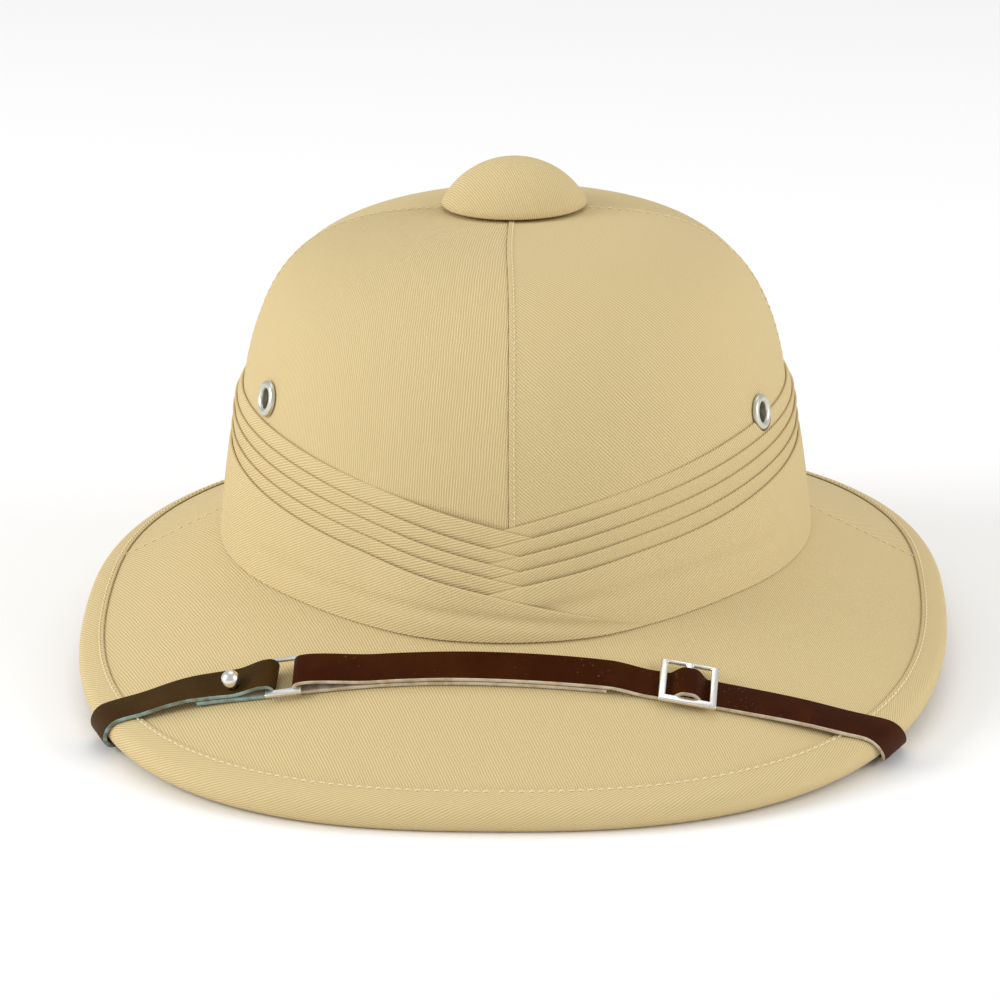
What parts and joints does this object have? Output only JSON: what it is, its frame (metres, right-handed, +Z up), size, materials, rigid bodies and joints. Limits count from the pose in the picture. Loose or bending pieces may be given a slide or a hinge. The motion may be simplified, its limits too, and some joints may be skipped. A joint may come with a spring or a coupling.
{
  "type": "pith helmet",
  "caption": "Cloth-covered sun helmet with a domed crown, a sloping brim, a pleated band round the crown, a top button, vent eyelets and a leather chin strap worn over the brim.",
  "frame": {"origin": "bottom centre of the whole helmet's box, on the surface that it rests on", "axes": "+Z up; -Y towards the front, where the pugaree's folds cross; +X towards the wearer's left, which is the right side of the front view"},
  "size_m": [0.304, 0.3944, 0.1707],
  "materials": {
    "pith": "matt, moulded fibre",
    "khaki_cloth": "matt cotton twill, pale khaki",
    "grey_leather": "worn satin, grey brown",
    "brown_leather": "dull satin, dark red brown",
    "nickel": "satin nickel plate"
  },
  "bodies": {
    "root": {"shell": "pith", "crown_panel_front_right_side": "khaki_cloth", "crown_panel_back_right_side": "khaki_cloth", "crown_panel_back_left_side": "khaki_cloth", "crown_panel_front_left_side": "khaki_cloth", "brim_cover_front": "khaki_cloth", "brim_cover_back": "khaki_cloth", "rim_binding": "khaki_cloth", "pugaree_fold_1": "khaki_cloth", "pugaree_fold_2": "khaki_cloth", "pugaree_fold_3": "khaki_cloth", "pugaree_fold_4": "khaki_cloth", "pugaree_fold_5": "khaki_cloth", "top_button": "khaki_cloth", "eyelet_right_side": "nickel", "eyelet_left_side": "nickel", "chin_strap_left_side": "grey_leather", "chin_strap_right_side": "brown_leather", "strap_loop": "nickel", "strap_slider": "nickel", "strap_stud": "nickel", "strap_rivet_left_side": "nickel", "strap_rivet_right_side": "nickel"}
  },
  "joints": []
}
